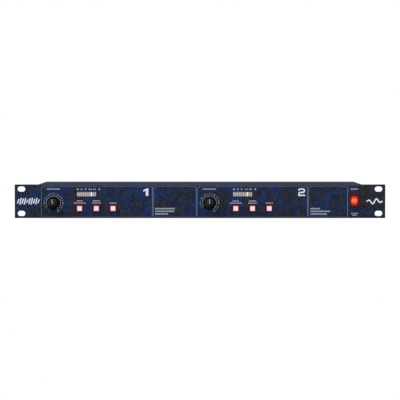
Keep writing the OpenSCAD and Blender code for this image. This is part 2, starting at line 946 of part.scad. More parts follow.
// Square lit cap and its stem, for a channel and a place along its row
module button(channel, place) {
    translate([button_x + channel_x[channel] + button_offsets[place], 0, button_z]) {
        bevel_block(cap_size, cap_size, cap_face, cap_back, 0.8);
        bar(stem_size, stem_size, cap_back - 1, stem_end);
    }
}

module ch1_button_left() {
    color("#f7c9d2") button(0, 0);
}

module ch1_button_middle() {
    color("#f7c9d2") button(0, 1);
}

module ch1_button_right() {
    color("#f7c9d2") button(0, 2);
}

module ch2_button_left() {
    color("#f7c9d2") button(1, 0);
}

module ch2_button_middle() {
    color("#f7c9d2") button(1, 1);
}

module ch2_button_right() {
    color("#f7c9d2") button(1, 2);
}

// Push switches behind the front panel, each open at the front for its button's stem
module button_switch_bodies() {
    well = stem_size + 2 * slide_gap;
    color("#303034") at_buttons() difference() {
        bar(switch_size, switch_size, switch_front, front_pcb_y);
        bar(well, well, switch_front - 1, stem_end + button_travel + 0.4);
    }
}

// Square frames around the buttons
module button_bezels() {
    opening = cap_size + 2 * slide_gap;
    color("#1c1114") at_buttons() difference() {
        bevel_block(bezel_size, bezel_size, bezel_front, switch_front, 0.3);
        bar(opening, opening, bezel_front - 1, switch_front + 1);
    }
}

// Each segment of a meter, on children: every one, or only the lit one, or only the others
module meter_row(lit, unlit) {
    for (i = [1 : segment_count]) {
        if ((i == lit_segment && lit) || (i != lit_segment && unlit)) {
            translate([(i - (segment_count + 1) / 2) * segment_pitch, 0, 0]) children();
        }
    }
}

// Moulded bodies of the level meters, with a pocket for each segment and pins to the front board
module meter_bodies() {
    base_h = 10.1;
    color("#a8a29c") at_meters() {
        difference() {
            union() {
                bar(meter_w, meter_h, meter_face, sheet_t + 1);
                bar(meter_w, base_h, sheet_t, sheet_t + 8);
            }
            meter_row(true, true) bar(segment_w, segment_h, meter_face - 1, meter_face + segment_sink);
        }
        for (row = [-1, 1]) {
            translate([0, 0, row * (base_h / 2 - 1.2)]) meter_row(true, true) {
                bar(0.5, 0.5, sheet_t + 7, front_pcb_y);
            }
        }
    }
}

// Diffusers of the segments that are dark
module meter_segments() {
    color("#b8b2ac") at_meters() meter_row(false, true) {
        bar(segment_w, segment_h, meter_face - segment_proud, meter_face + segment_sink);
    }
}

// Diffusers of the segments that are lit
module lit_segments() {
    color("#f2e8c8") at_meters() meter_row(true, false) {
        bar(segment_w, segment_h, meter_face - segment_proud, meter_face + segment_sink);
    }
}

// Housing of the power switch, with bearings for the rocker and two terminals
module power_switch_housing() {
    cavity_end = rocker_pivot_y + rocker_r + 1;
    color("#161618") translate([rocker_x, 0, 0]) {
        difference() {
            union() {
                bevel_block(rocker_flange_w, rocker_flange_h, front_face - rocker_flange_t, front_face, 0.8);
                bar(rocker_body_w, rocker_body_h, front_face - 0.5, rocker_body_end);
            }
            bar(rocker_slot_w, rocker_slot_h, front_face - rocker_flange_t - 1, cavity_end);
            translate([0, rocker_pivot_y, 0]) rotate([0, 90, 0]) {
                cylinder(r = rocker_pin_r + shaft_gap, h = rocker_slot_w + 0.9, center = true);
            }
        }
        for (side = [-1, 1]) {
            translate([0, 0, side * terminal_z]) bar(4.8, 0.8, rocker_body_end - 1, rocker_body_end + 6);
        }
    }
}

// Rocker of the power switch, at rest with its upper end pushed in
module power_rocker() {
    crown = 0.9;
    face_slope = 1.3 / rocker_r;
    reach = rocker_r + 1;
    color("#d8402c") translate([rocker_x, rocker_pivot_y, 0]) rotate([-rocker_tilt, 0, 0]) {
        along_x(-rocker_w / 2, rocker_w / 2) intersection() {
            circle(r = rocker_r);
            polygon([[-crown, 0], [-crown - face_slope * reach, reach], [reach, reach],
                     [reach, -reach], [-crown - face_slope * reach, -reach]]);
        }
        rotate([0, 90, 0]) cylinder(r = rocker_pin_r, h = rocker_slot_w + 0.7, center = true);
    }
}

// ---- Rear connectors ----

// Outline of the mains socket, with its two upper corners cut off
module socket_outline(extra) {
    w = socket_w / 2 + extra;
    h = socket_h / 2 + extra;
    cut = 5;
    polygon([[-w, -h], [w, -h], [w, h - cut], [w - cut, h], [-w + cut, h], [-w, h - cut]]);
}

// The three contact blades of the mains inlet, grown by extra
module inlet_blades(extra) {
    for (side = [-1, 0, 1]) {
        translate([side * pin_pitch, 0, socket_z + (side == 0 ? pin_drop : -pin_drop)]) {
            bar(2 + 2 * extra, 4 + 2 * extra, inlet_back - 4, side == 0 ? 205 : 204);
        }
    }
}

// Mains inlet with a slot for the fuse drawer below the socket
module mains_inlet() {
    color("#141416") translate([inlet_x, 0, 0]) difference() {
        union() {
            along_y(chassis_d, inlet_front) round_rect(inlet_flange_w, inlet_flange_h, 3);
            bar(inlet_w, inlet_h, inlet_back, chassis_d + 1);
        }
        translate([0, 0, socket_z]) along_y(socket_floor, inlet_front + 1) socket_outline(0);
        translate([0, 0, drawer_z]) bar(drawer_w, drawer_h, drawer_back, inlet_front + 1);
        inlet_blades(fixed_gap / 2);
        side_screw_holes(inlet_screw_dx, chassis_d - 1, inlet_front + 1);
    }
}

// Contact blades of the mains inlet
module mains_inlet_pins() {
    color("lightgray") translate([inlet_x, 0, 0]) inlet_blades(0);
}

// Drawer that holds the fuse, with a finger notch under its front edge
module fuse_drawer() {
    front_w = drawer_w - 2 * slide_gap;
    front_h = drawer_h - 2 * slide_gap;
    tray_w = front_w - 1;
    nest = [fuse_len / 2 + 0.2, fuse_r + 0.2];
    color("#1a1a1c") translate([inlet_x, 0, drawer_z]) difference() {
        union() {
            bar(front_w, front_h, chassis_d - 0.4, inlet_front);
            bar(tray_w, front_h - 0.6, drawer_back + 1, chassis_d);
        }
        slab([-nest[0], fuse_y - nest[1], -nest[1]], [nest[0], fuse_y + nest[1], drawer_h]);
        slab([-5, inlet_front - 1, front_h / 2 - 2], [5, inlet_front + 1, front_h / 2 + 1]);
    }
}

// Cartridge fuse with a metal cap at each end
module fuse() {
    cap_len = 5;
    color("lightsteelblue") translate([inlet_x, fuse_y, drawer_z]) rotate([0, 90, 0]) {
        cylinder(r = fuse_r - 0.2, h = fuse_len - 1, center = true);
        for (side = [-1, 1]) {
            translate([0, 0, side * (fuse_len - cap_len) / 2]) {
                cylinder(r = fuse_r, h = cap_len, center = true);
            }
        }
    }
}

// Slide switch that selects the mains voltage
module voltage_selector() {
    plate_w = 2 * selector_screw_dx + 8;
    window_w = slider_size + selector_travel + 2 * slide_gap;
    color("#2c2c30") translate([selector_x, 0, 0]) difference() {
        union() {
            along_y(chassis_d, chassis_d + 1) round_rect(plate_w, selector_h + 3, 2);
            bar(selector_w, selector_h, chassis_d - 10, chassis_d + 0.5);
        }
        bar(window_w, slider_size + 2 * slide_gap, chassis_d - 4, chassis_d + 2);
        side_screw_holes(selector_screw_dx, chassis_d - 1, chassis_d + 2);
    }
}

// Slider of the voltage selector, grooved for a screwdriver
module voltage_selector_slider() {
    color("crimson") translate([selector_x - selector_travel / 2, 0, 0]) difference() {
        bar(slider_size, slider_size, chassis_d - 3.8, chassis_d + 0.6);
        bar(1.2, 8, chassis_d - 0.6, chassis_d + 2);
    }
}

// Flange of an XLR connector with its two fixing holes
module xlr_flange() {
    difference() {
        along_y(chassis_d, xlr_front) round_rect(xlr_w, xlr_h, 3);
        for (side = [-1, 1]) {
            translate([side * xlr_screw_dx, 0, -side * xlr_screw_dz]) {
                rod_y(screw_r + fixed_gap, chassis_d - 1, xlr_front + 1);
            }
        }
    }
}

// Metal shells of the input sockets, each with a window for its latch
module xlr_input_shells() {
    color("#2a2b30") for (x = xlr_inputs) {
        translate([x, 0, 0]) difference() {
            union() {
                xlr_flange();
                rod_y(xlr_body_r, xlr_back, xlr_front + 0.8);
            }
            rod_y(xlr_bore_r, xlr_back + 2, xlr_front + 2);
            translate([0, 0, latch_z]) {
                bar(latch_w + 2 * slide_gap, latch_h + 2 * slide_gap, xlr_front - 10, xlr_front + 2);
            }
        }
    }
}

// Metal shells of the output plugs
module xlr_output_shells() {
    color("#2a2b30") for (x = xlr_outputs) {
        translate([x, 0, 0]) difference() {
            union() {
                xlr_flange();
                rod_y(xlr_body_r, xlr_back + 7, xlr_front + 0.8);
            }
            rod_y(xlr_plug_r, xlr_back + 6, xlr_front + 2);
        }
    }
}

// Children at the three contacts of an XLR connector
module at_xlr_contacts() {
    for (turn = [-90, 90, 180]) {
        rotate([0, turn, 0]) translate([0, 0, xlr_contact_ring]) children();
    }
}

// Insulating inserts of the four XLR connectors
module xlr_inserts() {
    color("#101012") {
        for (x = xlr_inputs) {
            translate([x, 0, 0]) difference() {
                union() {
                    rod_y(xlr_bore_r - shaft_gap, xlr_back + 2, xlr_back + 5);
                    rod_y(xlr_insert_r, xlr_back + 4, xlr_front);
                }
                at_xlr_contacts() rod_y(1.5, xlr_front - 14, xlr_front + 1);
            }
        }
        for (x = xlr_outputs) {
            translate([x, 0, 0]) difference() {
                rod_y(xlr_plug_r - shaft_gap, xlr_back + 7, xlr_back + 10);
                at_xlr_contacts() rod_y(1.2 + shaft_gap, xlr_back + 6, xlr_back + 11);
            }
        }
    }
}

// Contact pins of the output plugs
module xlr_output_pins() {
    color("gold") for (x = xlr_outputs) {
        translate([x, 0, 0]) at_xlr_contacts() rod_y(1.2, xlr_back + 3, xlr_front - 2);
    }
}

// Push latch of an input socket
module xlr_latch(channel) {
    color("silver") translate([xlr_inputs[channel], 0, latch_z]) difference() {
        bar(latch_w, latch_h, xlr_front - 6, latch_front);
        translate([0, latch_front, 0]) rotate([0, 90, 0]) cylinder(r = 0.8, h = latch_w + 1, center = true);
        translate([0, 0, -latch_z]) rod_y(xlr_bore_r, xlr_front - 20, latch_front + 1);
    }
}

module xlr_latch_1() {
    xlr_latch(0);
}

module xlr_latch_2() {
    xlr_latch(1);
}

front_panel();
panel_studs();
panel_nuts();
chassis_tray();
top_cover();
cover_screws();
rear_panel();
rear_panel_screws();
connector_screws();
main_pcb();
pcb_standoffs();
pcb_screws();
front_pcb();
toroidal_transformer();
transformer_pads();
transformer_clamp();
transformer_bolt();
filter_capacitors();
bridge_rectifier();
voltage_regulators();
heat_sink();
signal_ics();
film_capacitors();
bypass_relays();
ribbon_cable();
ribbon_headers();
internal_wires();
potentiometer_bodies();
potentiometer_nuts();
ch1_knob();
ch2_knob();
ch1_knob_pointer();
ch2_knob_pointer();
ch1_pot_shaft();
ch2_pot_shaft();
ch1_button_left();
ch1_button_middle();
ch1_button_right();
ch2_button_left();
ch2_button_middle();
ch2_button_right();
button_switch_bodies();
button_bezels();
meter_bodies();
meter_segments();
lit_segments();
power_switch_housing();
power_rocker();
mains_inlet();
mains_inlet_pins();
fuse_drawer();
fuse();
voltage_selector();
voltage_selector_slider();
xlr_input_shells();
xlr_output_shells();
xlr_inserts();
xlr_output_pins();
xlr_latch_1();
xlr_latch_2();
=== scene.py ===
import json
import math

import bmesh
import bpy
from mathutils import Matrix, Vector


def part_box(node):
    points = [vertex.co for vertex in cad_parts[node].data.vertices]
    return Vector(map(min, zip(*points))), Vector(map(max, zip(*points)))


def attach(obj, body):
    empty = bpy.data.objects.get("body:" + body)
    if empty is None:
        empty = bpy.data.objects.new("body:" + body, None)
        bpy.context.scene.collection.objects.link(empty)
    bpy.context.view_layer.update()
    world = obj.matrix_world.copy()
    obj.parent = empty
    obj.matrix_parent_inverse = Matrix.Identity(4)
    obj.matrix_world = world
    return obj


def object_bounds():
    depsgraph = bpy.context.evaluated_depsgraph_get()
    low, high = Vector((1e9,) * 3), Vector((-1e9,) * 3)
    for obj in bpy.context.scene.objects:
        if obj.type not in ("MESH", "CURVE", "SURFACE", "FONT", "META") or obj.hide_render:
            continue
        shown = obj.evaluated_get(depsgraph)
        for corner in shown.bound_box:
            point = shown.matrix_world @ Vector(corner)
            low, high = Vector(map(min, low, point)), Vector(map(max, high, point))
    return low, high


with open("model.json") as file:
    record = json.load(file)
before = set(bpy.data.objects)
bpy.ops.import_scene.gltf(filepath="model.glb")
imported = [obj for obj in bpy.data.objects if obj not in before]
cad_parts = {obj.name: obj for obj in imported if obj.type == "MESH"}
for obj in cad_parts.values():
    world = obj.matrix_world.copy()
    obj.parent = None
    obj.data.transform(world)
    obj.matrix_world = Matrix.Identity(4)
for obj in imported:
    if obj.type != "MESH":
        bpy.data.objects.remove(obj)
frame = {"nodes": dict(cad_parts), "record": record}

cad_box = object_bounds()
cad = frame["nodes"]
MM = 0.001

PANEL_LOW, PANEL_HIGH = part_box("front_panel")
FACE_Y = PANEL_LOW.y
REAR_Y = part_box("rear_panel")[1].y


def centre(node):
    """Middle of a CAD node's box."""
    low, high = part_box(node)
    return (low + high) / 2


# ---- Materials -------------------------------------------------------------------------------

class Paint:
    """A node material, built one call at a time. Lengths are in metres, colours are linear."""

    def __init__(self, name, color, roughness, metallic=0.0, specular=0.5):
        self.material = bpy.data.materials.new(name)
        self.material.use_nodes = True
        self.tree = self.material.node_tree
        self.surface = self.tree.nodes["Principled BSDF"]
        self.object_place = self.add("TexCoord", {}, output="Object")
        self.set("Base Color", color)
        self.set("Roughness", roughness)
        self.set("Metallic", metallic)
        self.set("Specular IOR Level", specular)

    def feed(self, socket, value):
        """Links or sets one input."""
        if isinstance(value, bpy.types.NodeSocket):
            self.tree.links.new(value, socket)
        elif socket.type == "RGBA" and len(value) == 3:
            socket.default_value = (*value, 1.0)
        else:
            socket.default_value = value

    def set(self, name, value):
        self.feed(self.surface.inputs[name], value)

    def add(self, kind, feeds, output=0, **settings):
        """New node with its inputs fed; gives back one of its outputs."""
        node = self.tree.nodes.new("ShaderNode" + kind)
        for key, value in settings.items():
            setattr(node, key, value)
        for key, value in feeds.items():
            self.feed(node.inputs[key], value)
        return node.outputs[output]

    def place(self, stretch=(1, 1, 1), origin=(0, 0, 0)):
        """Object position, measured from origin and scaled by stretch."""
        moved = self.add("VectorMath", {0: self.object_place, 1: tuple(origin)}, operation="SUBTRACT")
        return self.add("VectorMath", {0: moved, 1: tuple(stretch)}, operation="MULTIPLY")

    def noise(self, cell, detail=2.0, rough=0.5, stretch=(1, 1, 1), origin=(0, 0, 0)):
        """Grey noise with blobs about cell across."""
        feeds = {"Vector": self.place(stretch, origin), "Scale": 1 / cell, "Detail": detail}
        return self.add("TexNoise", {**feeds, "Roughness": rough})

    def calc(self, operation, a, b=0.0, c=0.0, clamp=False):
        return self.add("Math", {0: a, 1: b, 2: c}, operation=operation, use_clamp=clamp)

    def ramp(self, value, *stops):
        """Colour or grey along value; each stop is (place, colour or grey)."""
        node = self.tree.nodes.new("ShaderNodeValToRGB")
        self.feed(node.inputs[0], value)
        elements = node.color_ramp.elements
        while len(elements) < len(stops):
            elements.new(0.5)
        for element, (at, color) in zip(elements, stops):
            element.position = at
            grey = isinstance(color, (int, float))
            element.color = (color, color, color, 1) if grey else (*color, 1)
        return node.outputs[0]

    def mix(self, share, a, b):
        """Colour a where share is 0, b where it is 1. The node's inputs 6 and 7 are its colours."""
        node = self.tree.nodes.new("ShaderNodeMix")
        node.data_type = "RGBA"
        self.feed(node.inputs[0], share)
        self.feed(node.inputs[6], a)
        self.feed(node.inputs[7], b)
        return node.outputs[2]

    def bump(self, height, depth):
        """Surface relief, where a height of 1 stands depth metres out."""
        self.set("Normal", self.add("Bump", {"Height": height, "Distance": depth, "Strength": 1.0}))

    def length(self, vector):
        return self.add("VectorMath", {0: vector}, output="Value", operation="LENGTH")

    def axes(self, vector):
        """The three parts of a vector."""
        node = self.tree.nodes.new("ShaderNodeSeparateXYZ")
        self.feed(node.inputs[0], vector)
        return node.outputs

    def edge_wear(self, radius):
        """1 on edges sharper than radius, 0 on flat faces."""
        rounded = self.add("Bevel", {"Radius": radius}, samples=4)
        true_normal = self.add("NewGeometry", {}, output="Normal")
        along = self.add("VectorMath", {0: rounded, 1: true_normal}, output="Value", operation="DOT_PRODUCT")
        return self.ramp(along, (0.90, 1.0), (0.995, 0.0))

    def glow(self, color, strength):
        self.set("Emission Color", color)
        self.set("Emission Strength", strength)

    def facing(self, low, high):
        """0 to 1 as a face turns towards the front, from low to high along its normal."""
        normal = self.axes(self.add("NewGeometry", {}, output="Normal"))
        return self.ramp(self.calc("MULTIPLY", normal[1], -1.0), (low, 0.0), (high, 1.0))

    def calm_sheen(self, level):
        """Specular level that fades out where the face is seen edge on."""
        edge_on = self.add("LayerWeight", {"Blend": 0.5}, output="Facing")
        self.set("Specular IOR Level", self.ramp(edge_on, (0.65, level), (0.88, 0.0)))


def vary(color, amount):
    """A darker and a lighter shade of color."""
    return tuple(c * (1 - amount) for c in color), tuple(min(1.0, c * (1 + amount)) for c in color)


def mottled(name, color, roughness, metallic=0.0, specular=0.5, cell=4 * MM, amount=0.12, grain=0.25 * MM,
            depth=0.01 * MM):
    """Moulded or coated surface: faint colour drift, a fine grain in the bump, and uneven sheen."""
    paint = Paint(name, color, roughness, metallic, specular)
    dark, light = vary(color, amount)
    paint.set("Base Color", paint.ramp(paint.noise(cell, 3), (0.3, dark), (0.7, light)))
    sheen = paint.noise(cell * 2.3, 4)
    paint.set("Roughness", paint.ramp(sheen, (0.3, roughness * 0.85), (0.7, roughness * 1.15)))
    paint.bump(paint.noise(grain, 2), depth)
    return paint


def brushed(name, color, roughness, along=(1, 0, 0), amount=0.15):
    """Bare metal with fine drawn lines along one axis."""
    paint = Paint(name, color, roughness, metallic=1.0)
    stretch = tuple(0.04 if a else 1.0 for a in along)
    lines = paint.noise(0.25 * MM, 3, 0.6, stretch)
    dark, light = vary(color, amount)
    paint.set("Base Color", paint.ramp(lines, (0.3, dark), (0.7, light)))
    paint.set("Roughness", paint.ramp(lines, (0.3, roughness * 0.8), (0.7, roughness * 1.3)))
    paint.bump(lines, 0.006 * MM)
    return paint


EMBLEM_X = PANEL_HIGH.x - 14 * MM
CHARCOAL = (0.0175, 0.0175, 0.0235)
NAVY = (0.0120, 0.0200, 0.0480)
DEEP_BLUE = (0.0060, 0.0240, 0.1000)
# painted shade for the front panel's rim, and a painted highlight for its top edge
EDGE_SHADE = (0.004, 0.004, 0.005)
EDGE_HIGHLIGHT = (0.030, 0.034, 0.050)


def panel_paint():
    """Satin paint, marbled from charcoal to deep blue in upright clouds. The rim is painted nearly black as
    shade, but for its top edge in front of the case, which is painted lighter as a highlight."""
    paint = Paint("panel_paint", CHARCOAL, 0.45, specular=0.10)
    broad = paint.noise(30 * MM, 2, 0.5, (1.0, 1.0, 0.6))
    clouds = paint.noise(9.5 * MM, 3, 0.55, (1.0, 1.0, 0.5), (0.3, 0, 0.1))
    fine = paint.noise(1.6 * MM, 3, 0.6, (1.0, 1.0, 0.7))
    field = paint.calc("ADD", paint.calc("MULTIPLY", clouds, 0.62), paint.calc("MULTIPLY", broad, 0.38))
    field = paint.calc("ADD", field, paint.calc("MULTIPLY", paint.calc("SUBTRACT", fine, 0.5), 0.16))
    x, y, z = paint.axes(paint.object_place)
    near_emblem = paint.length(paint.place((1.0, 0.0, 1.3), (EMBLEM_X, 0, 1 * MM)))
    cloud = paint.ramp(paint.calc("DIVIDE", near_emblem, 20 * MM), (0.45, 0.16), (1.0, 0.0))
    field = paint.calc("SUBTRACT", field, cloud)
    color = paint.ramp(field, (0.41, CHARCOAL), (0.49, NAVY), (0.62, DEEP_BLUE))
    shade = paint.ramp(paint.noise(2.8 * MM, 3, 0.6, (1, 1, 0.7)), (0.34, 0.50), (0.66, 1.40))
    color = paint.add("VectorMath", {0: color, 1: shade}, operation="MULTIPLY")
    margin = 1.15 * MM
    side_share = paint.calc("GREATER_THAN", paint.calc("ABSOLUTE", x), PANEL_HIGH.x - margin)
    low_share = paint.calc("LESS_THAN", z, PANEL_LOW.z + margin)
    top_share = paint.calc("GREATER_THAN", z, PANEL_HIGH.z - margin)
    back_share = paint.calc("GREATER_THAN", y, FACE_Y + 1.3 * MM)
    # painted shade: the side and bottom edges and all faces set back from the front are painted nearly black
    shaded_rim = paint.calc("MAXIMUM", side_share, paint.calc("MAXIMUM", low_share, back_share))
    ear = paint.ramp(paint.calc("DIVIDE", paint.calc("ABSOLUTE", x), PANEL_HIGH.x), (0.86, 0.0), (0.90, 1.0))
    # painted highlight on the top edge in front of the case; on the ears that edge gets painted shade
    color = paint.mix(top_share, color, paint.mix(ear, EDGE_HIGHLIGHT, EDGE_SHADE))
    paint.set("Base Color", paint.mix(shaded_rim, color, EDGE_SHADE))
    paint.set("Specular IOR Level", paint.calc("MULTIPLY", paint.calc("SUBTRACT", 1.0, shaded_rim), 0.10))
    paint.set("Roughness", paint.ramp(paint.noise(3 * MM, 4), (0.3, 0.38), (0.7, 0.52)))
    paint.bump(paint.noise(0.5 * MM, 3), 0.010 * MM)
    return paint.material


def powder_coat(name, color):
    """Fine orange-peel powder coat on folded sheet, with faint rubs along its edges."""
    paint = Paint(name, color, 0.62)
    paint.calm_sheen(0.22)
    dark, light = vary(color, 0.10)
    base = paint.ramp(paint.noise(45 * MM, 4), (0.3, dark), (0.7, light))
    worn = tuple(c * 2.2 + 0.01 for c in color)
    edges = paint.edge_wear(0.5 * MM)
    rubs = paint.calc("MULTIPLY", edges, paint.ramp(paint.noise(9 * MM, 4), (0.5, 0.0), (0.7, 0.6)))
    paint.set("Base Color", paint.mix(rubs, base, worn))
    paint.set("Roughness", paint.ramp(paint.noise(1.2 * MM, 3), (0.3, 0.55), (0.7, 0.70)))
    paint.bump(paint.noise(0.7 * MM, 2), 0.03 * MM)
    return paint.material


def knob_paint(name, middle):
    """Soft black moulding with a faintly domed face. The face is lightest to the upper left and black at
    its lower edge however far the knob is turned, because the shade goes by the place and not by the mesh."""
    paint = Paint(name, (0.004, 0.004, 0.005), 0.50, specular=0.18)
    where = paint.add("NewGeometry", {}, output="Position")
    x, _, z = paint.axes(paint.add("VectorMath", {0: where, 1: tuple(middle)}, operation="SUBTRACT"))
    slant = paint.calc("SUBTRACT", z, paint.calc("MULTIPLY", x, 0.45))
    lit = paint.ramp(paint.calc("MULTIPLY_ADD", slant, 1 / (14 * MM), 0.5), (0.08, 0.0), (0.62, 1.0))
    face = paint.calc("MULTIPLY", paint.facing(0.80, 0.97), lit)
    dark, light = vary((0.0115, 0.0118, 0.0130), 0.18)
    grain = paint.ramp(paint.noise(2.5 * MM, 3), (0.3, dark), (0.7, light))
    paint.set("Base Color", paint.mix(face, (0.0020, 0.0020, 0.0026), grain))
    paint.set("Specular IOR Level", paint.calc("MULTIPLY_ADD", face, 0.16, 0.02))
    paint.set("Roughness", paint.ramp(paint.noise(1.2 * MM, 3), (0.3, 0.42), (0.7, 0.58)))
    away = paint.place((1, 0, 1), middle)
    reach = paint.add("VectorMath", {0: away, 1: away}, output="Value", operation="DOT_PRODUCT")
    dome = paint.calc("MULTIPLY", reach, -26.0)
    height = paint.calc("ADD", dome, paint.calc("MULTIPLY", paint.noise(0.12 * MM, 2), 0.004 * MM))
    paint.bump(height, 1.0)
    return paint.material


def printed_ink(name, color):
    """Screen ink, a little thin in places."""
    paint = Paint(name, color, 0.55, specular=0.2)
    dark, light = vary(color, 0.10)
    paint.set("Base Color", paint.ramp(paint.noise(0.6 * MM, 3), (0.3, dark), (0.7, light)))
    paint.bump(paint.noise(0.1 * MM, 2), 0.004 * MM)
    return paint.material


def lit_cap(name, middle):
    """Translucent pink cap lit from behind: pale on its flat face, deep red round its edge and sides."""
    paint = Paint(name, (0.20, 0.04, 0.06), 0.28, specular=0.3)
    half_cap = 3.8 * MM
    x, _, z = paint.axes(paint.place(origin=middle))
    square = paint.calc("MAXIMUM", paint.calc("ABSOLUTE", x), paint.calc("ABSOLUTE", z))
    away = paint.calc("DIVIDE", square, half_cap)
    haze = paint.ramp(paint.noise(2.4 * MM, 2), (0.35, 0.92), (0.65, 1.05))
    face = paint.ramp(away, (0.0, (1.00, 0.80, 0.86)), (0.62, (0.98, 0.64, 0.72)), (0.80, (0.82, 0.42, 0.50)),
                      (0.93, (0.10, 0.020, 0.035)))
    face = paint.add("VectorMath", {0: face, 1: haze}, operation="MULTIPLY")
    paint.glow(paint.mix(paint.facing(0.72, 0.95), (0.030, 0.006, 0.010), face), 0.92)
    paint.bump(paint.noise(0.8 * MM, 2), 0.006 * MM)
    return paint.material


def bezel_paint():
    """Dark moulding with a painted red glow of lamp light spilling from the cap inside it."""
    paint = mottled("bezel_black", (0.014, 0.008, 0.010), 0.45, specular=0.2, cell=1.5 * MM)
    # painted glow: red lamp light, strong on the faces turned away from the front and faint on the front
    paint.glow(paint.mix(paint.facing(0.3, 0.9), (0.020, 0.002, 0.004), (0.005, 0.001, 0.002)), 1.0)
    return paint.material


def rocker_lens():
    """Translucent red rocker with two painted lamp spots showing through above its middle."""
    paint = Paint("rocker_red", (0.030, 0.002, 0.002), 0.30, specular=0.05)
    middle = centre("power_rocker")
    lamp = (middle.x - 0.4 * MM, 0, 0.9 * MM)
    half_width, half_height = 4.9 * MM, 6.2 * MM
    squareness = 2.6        # 2 would make the glow an ellipse
    x, _, z = paint.axes(paint.place((1 / half_width, 1, 1 / half_height), lamp))
    powers = [paint.calc("POWER", paint.calc("ABSOLUTE", part), squareness) for part in (x, z)]
    away = paint.calc("POWER", paint.calc("ADD", *powers), 1 / squareness)
    haze = paint.noise(1.8 * MM, 2, 0.5)
    away = paint.calc("ADD", away, paint.calc("MULTIPLY", paint.calc("SUBTRACT", haze, 0.5), 0.16))
    heat = paint.ramp(paint.calc("MULTIPLY", away, 0.5),
                      (0.0, (0.95, 0.180, 0.040)), (0.20, (0.90, 0.140, 0.034)),
                      (0.32, (0.72, 0.060, 0.022)), (0.44, (0.34, 0.020, 0.014)),
                      (0.55, (0.11, 0.006, 0.006)), (0.70, (0.025, 0.003, 0.004)))
    for side, tint in ((-1, (0.30, 0.170, 0.050)), (1, (0.30, 0.150, 0.120))):
        spot = (lamp[0] + side * 2.5 * MM, 0, 1.4 * MM)
        reach = paint.length(paint.place((1, 0, 0.7), spot))
        near = paint.ramp(paint.calc("DIVIDE", reach, 1.9 * MM), (0.1, tint), (1.0, (0, 0, 0)))
        heat = paint.add("VectorMath", {0: heat, 1: near}, operation="ADD")
    paint.glow(heat, 1.0)
    paint.bump(paint.noise(1.0 * MM, 2), 0.006 * MM)
    return paint.material


def segment_lens(name, base, lit, strength):
    """Diffuser of one meter segment, glowing brighter along its middle. On lit segments the glow is the LED;
    on unlit ones it is painted light.
    """
    paint = Paint(name, base, 0.35, specular=0.3)
    meter_z, half_height = centre("meter_segments").z, 2.6 * MM
    _, _, z = paint.axes(paint.place((1, 1, 1 / half_height), (0, 0, meter_z)))
    away = paint.calc("ABSOLUTE", z)
    edge = tuple(c * 0.72 for c in lit)
    tint = paint.ramp(paint.noise(1.6 * MM, 2), (0.35, 0.90), (0.65, 1.08))
    color = paint.ramp(away, (0.2, lit), (1.0, edge))
    paint.glow(paint.add("VectorMath", {0: color, 1: tint}, operation="MULTIPLY"), strength)
    paint.bump(paint.noise(0.3 * MM, 2), 0.004 * MM)
    return paint.material


def circuit_board():
    """Solder-masked board: dark green with lighter copper tracks and pads under the mask."""
    paint = Paint("board_green", (0.008, 0.075, 0.03), 0.30, specular=0.5)
    tracks = paint.add("TexBrick", {"Vector": paint.object_place, "Scale": 90.0, "Mortar Size": 0.012,
                                    "Color1": (0, 0, 0), "Color2": (0.15, 0.15, 0.15), "Mortar": (1, 1, 1)})
    copper = paint.mix(tracks, (0.006, 0.060, 0.024), (0.030, 0.165, 0.060))
    shade = paint.ramp(paint.noise(8 * MM, 3), (0.3, 0.8), (0.7, 1.2))
    paint.set("Base Color", paint.add("VectorMath", {0: copper, 1: shade}, operation="MULTIPLY"))
    paint.bump(tracks, 0.02 * MM)
    return paint.material


def transformer_tape():
    """Polyester tape wound round the ring, each turn lapping the last."""
    paint = Paint("transformer_wrap", (0.62, 0.40, 0.07), 0.32, specular=0.5)
    laps_per_radian = 22.0
    x, y, _ = paint.axes(paint.place(origin=centre("toroidal_transformer")))
    turns = paint.calc("MULTIPLY", paint.calc("ARCTAN2", y, x), laps_per_radian)
    lap = paint.calc("FRACT", turns)
    paint.set("Base Color", paint.ramp(lap, (0.0, (0.40, 0.24, 0.035)), (0.12, (0.66, 0.43, 0.08)),
                                       (1.0, (0.58, 0.37, 0.06))))
    paint.bump(lap, 0.12 * MM)
    return paint.material


def fuse_body():
    """Glass barrel between two nickel caps."""
    paint = Paint("fuse_glass", (0.75, 0.80, 0.82), 0.08)
    low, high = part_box("fuse")
    cap_length = 5 * MM
    x, _, _ = paint.axes(paint.place(origin=centre("fuse")))
    cap = paint.calc("GREATER_THAN", paint.calc("ABSOLUTE", x), (high.x - low.x) / 2 - cap_length)
    nickel = paint.ramp(paint.noise(0.4 * MM, 3), (0.3, 0.6), (0.7, 0.8))
    paint.set("Base Color", paint.mix(cap, (0.80, 0.86, 0.88), nickel))
    paint.set("Metallic", cap)
    paint.set("Transmission Weight", paint.calc("SUBTRACT", 0.85, cap, clamp=True))
    return paint.material


